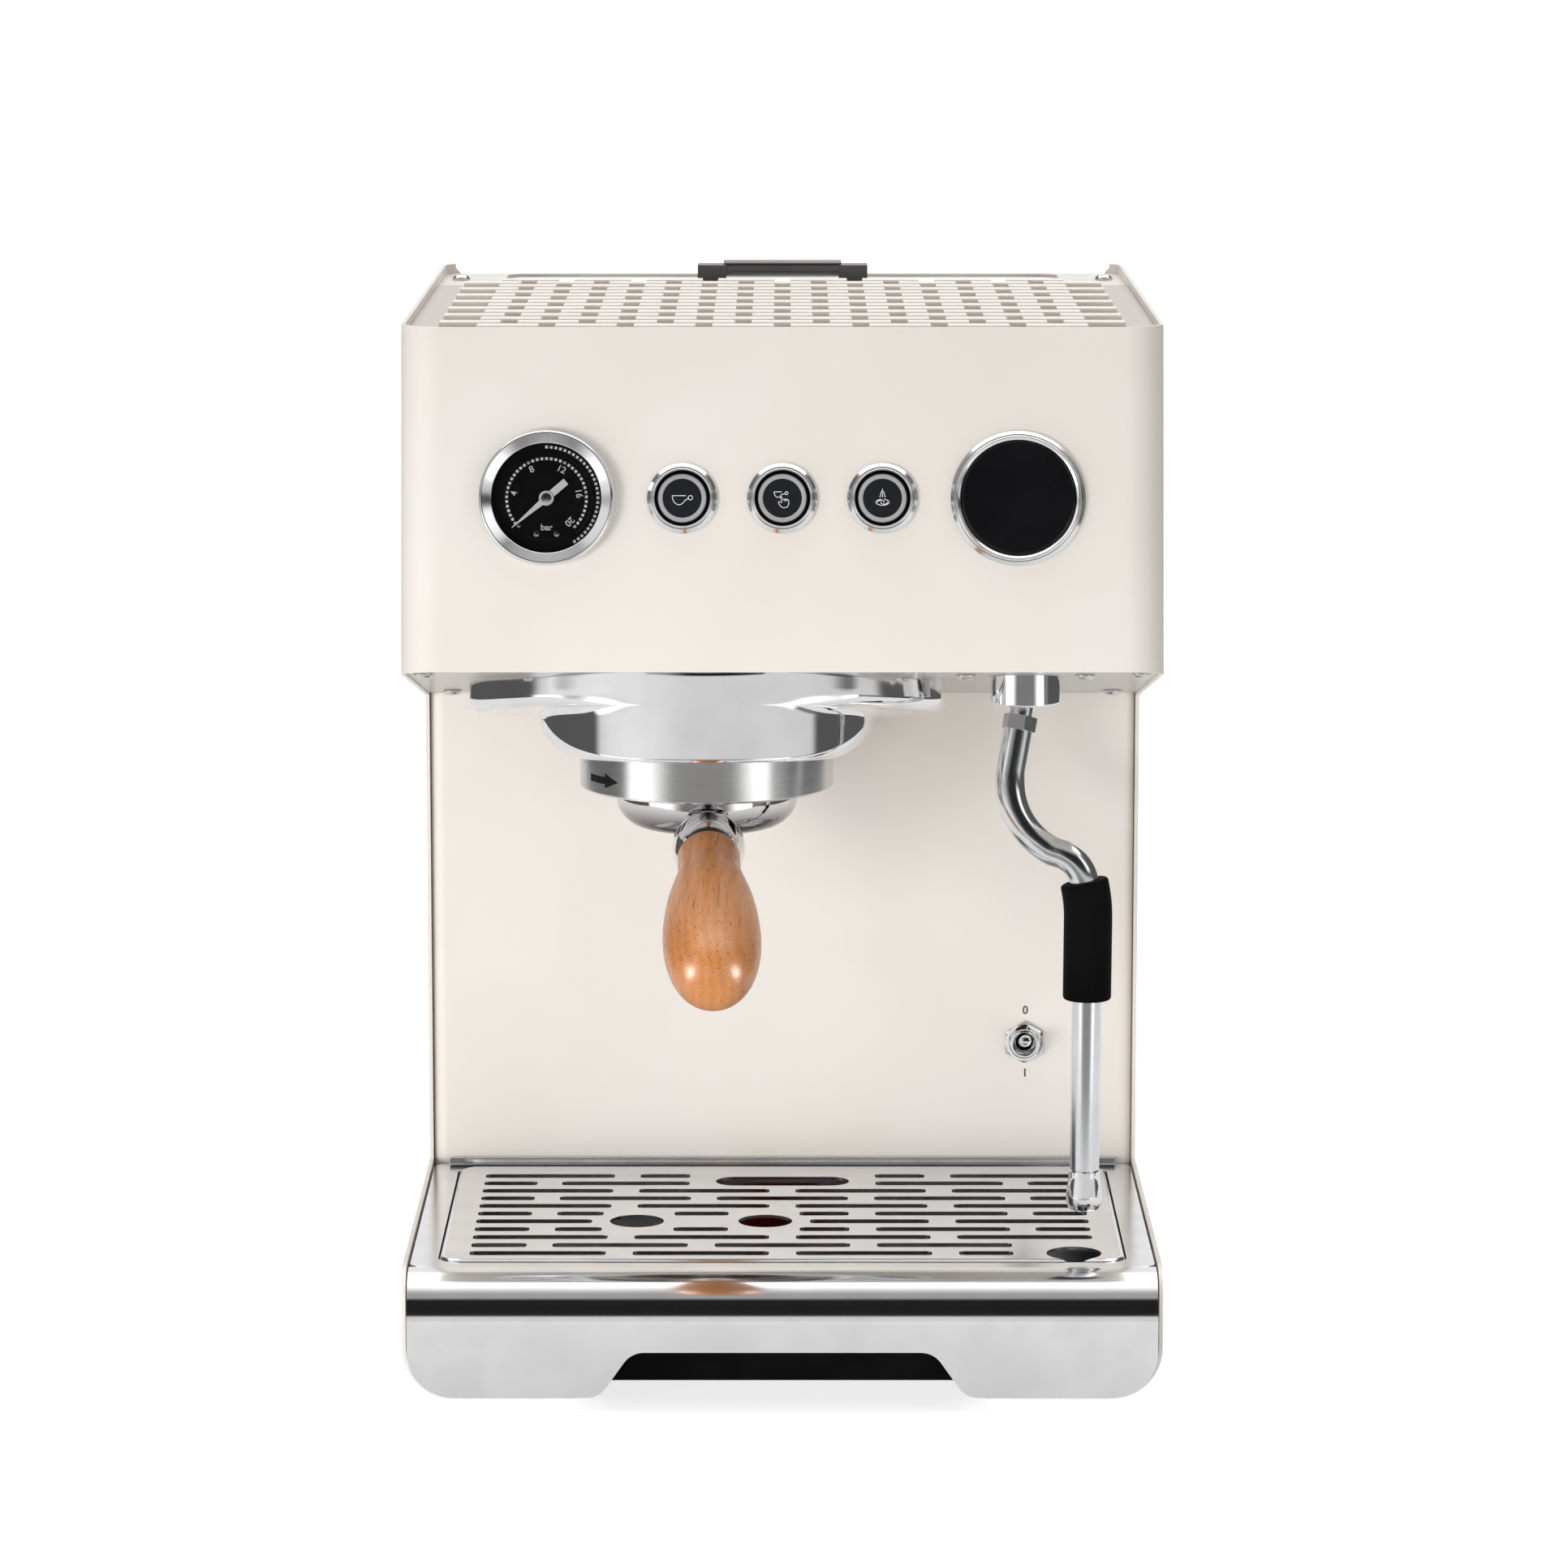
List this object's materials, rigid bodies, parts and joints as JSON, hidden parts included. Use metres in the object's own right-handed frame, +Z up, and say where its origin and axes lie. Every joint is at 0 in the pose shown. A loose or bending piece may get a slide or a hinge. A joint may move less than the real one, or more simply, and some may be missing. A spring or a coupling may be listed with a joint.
{
  "type": "espresso machine",
  "caption": "Domestic espresso machine with a leaning cream head, wood-handled portafilter, steam wand on a ball joint, pressure gauge, push buttons and a pull-out drip drawer.",
  "frame": {"origin": "on the worktop, under the middle of the machine's bounding box, handle included", "axes": "+Z up, +Y towards the back of the machine, +X to the right as the user faces it"},
  "size_m": [0.28, 0.4303, 0.399],
  "materials": {
    "cream_paint": "smooth satin powder paint, warm cream",
    "chrome": "polished bright plate",
    "turned_steel": "fine turned finish",
    "polished_steel": "polished stainless steel",
    "dark_steel": "dark plated steel",
    "brass": "machined brass",
    "copper": "drawn copper tube",
    "oiled_wood": "oiled orange-brown wood with fine dark pores",
    "black_rubber": "matt black silicone",
    "silicone_hose": "translucent white silicone",
    "black_plastic": "moulded black",
    "button_black": "black cap with a grey light ring",
    "display_black": "gloss black lens",
    "dial_black": "matt black with white numbers",
    "needle_cream": "cream enamel",
    "clear_glass": "clear",
    "tank_clear": "clear moulded",
    "white_plastic": "moulded white",
    "float_red": "dark red moulded",
    "board_green": "solder-masked board"
  },
  "bodies": {
    "chassis": {"body_shell": "cream_paint", "underside_plate": "cream_paint", "splash_panel": "cream_paint", "rear_panel": "cream_paint", "cup_tray": "cream_paint", "rear_deck": "cream_paint", "group_cowl": "chrome", "steam_boss": "chrome", "gauge_bezel": "chrome", "button_bezels": "chrome", "display_bezel": "chrome", "toggle_bushing": "chrome", "toggle_nut": "chrome", "group_collar": "turned_steel", "panel_screws": "turned_steel", "screen_screw": "turned_steel", "shower_screen": "polished_steel", "boiler": "polished_steel", "base_pan": "dark_steel", "group_head": "brass", "solenoid_valve": "brass", "steam_pipe": "copper", "feet": "black_rubber", "group_gasket": "black_rubber", "hoses": "silicone_hose", "power_inlet": "black_plastic", "gauge_case": "black_plastic", "button_switches": "black_plastic", "display_module": "black_plastic", "toggle_switch": "black_plastic", "pump": "black_plastic", "display_glass": "display_black", "gauge_dial": "dial_black", "gauge_glass": "clear_glass", "tank_seat": "white_plastic", "control_board": "board_green"},
    "portafilter": {"portafilter_bowl": "chrome", "filter_basket": "polished_steel", "portafilter_spout": "chrome", "portafilter_neck": "chrome", "portafilter_handle": "oiled_wood"},
    "cup_button": {"button_cup": "button_black"},
    "manual_button": {"button_manual": "button_black"},
    "steam_button": {"button_steam": "button_black"},
    "needle": {"gauge_needle": "needle_cream"},
    "toggle": {"toggle_lever": "chrome"},
    "wand_seat": {"ball_cup": "white_plastic"},
    "wand": {"wand_ball": "polished_steel", "wand_tube": "polished_steel", "wand_grip": "black_rubber", "wand_tip": "chrome"},
    "drawer": {"drip_tray": "polished_steel", "tray_fascia": "chrome"},
    "grid": {"drip_grid": "polished_steel"},
    "float": {"tray_float": "float_red"},
    "tank": {"water_tank": "tank_clear", "tank_valve": "white_plastic"},
    "lid": {"tank_lid": "white_plastic", "tank_handle": "dark_steel"}
  },
  "joints": [
    {"name": "portafilter_turn", "type": "hinge", "parent": "chassis", "child": "portafilter", "pos_m": [-0.0284, -0.048, 0.2127], "axis": [0, 0, 1], "range_deg": [-50, 0]},
    {"name": "cup_button_press", "type": "slide", "parent": "chassis", "child": "cup_button", "axis": [0, 0.9848, -0.1736], "range_m": [0, 0.002], "stiffness_N_per_m": 900},
    {"name": "manual_button_press", "type": "slide", "parent": "chassis", "child": "manual_button", "axis": [0, 0.9848, -0.1736], "range_m": [0, 0.002], "stiffness_N_per_m": 900},
    {"name": "steam_button_press", "type": "slide", "parent": "chassis", "child": "steam_button", "axis": [0, 0.9848, -0.1736], "range_m": [0, 0.002], "stiffness_N_per_m": 900},
    {"name": "needle_turn", "type": "hinge", "parent": "chassis", "child": "needle", "pos_m": [-0.086, -0.09899, 0.33345], "axis": [0, 0.9848, -0.1736], "range_deg": [0, 270], "stiffness_Nm_per_rad": 0.0006},
    {"name": "toggle_tip", "type": "hinge", "parent": "chassis", "child": "toggle", "pos_m": [0.0955, 0.055, 0.0996], "axis": [1, 0, 0], "range_deg": [0, 24]},
    {"name": "wand_swivel", "type": "hinge", "parent": "chassis", "child": "wand_seat", "pos_m": [0.0905, -0.065, 0.258], "axis": [0, 0, 1], "range_deg": [-120, 45]},
    {"name": "wand_tilt", "type": "hinge", "parent": "wand_seat", "child": "wand", "pos_m": [0.0905, -0.065, 0.258], "axis": [1, 0, 0], "range_deg": [-10, 14]},
    {"name": "drawer_slide", "type": "slide", "parent": "chassis", "child": "drawer", "axis": [0, -1, 0], "range_m": [0, 0.17]},
    {"name": "grid_lift", "type": "slide", "parent": "drawer", "child": "grid", "axis": [0, 0, 1], "range_m": [0, 0.009]},
    {"name": "float_rise", "type": "slide", "parent": "drawer", "child": "float", "axis": [0, 0, 1], "range_m": [0, 0.008]},
    {"name": "tank_lift", "type": "slide", "parent": "chassis", "child": "tank", "axis": [0, 0, 1], "range_m": [0, 0.29]},
    {"name": "lid_lift", "type": "slide", "parent": "tank", "child": "lid", "axis": [0, 0, 1], "range_m": [0, 0.06]}
  ]
}
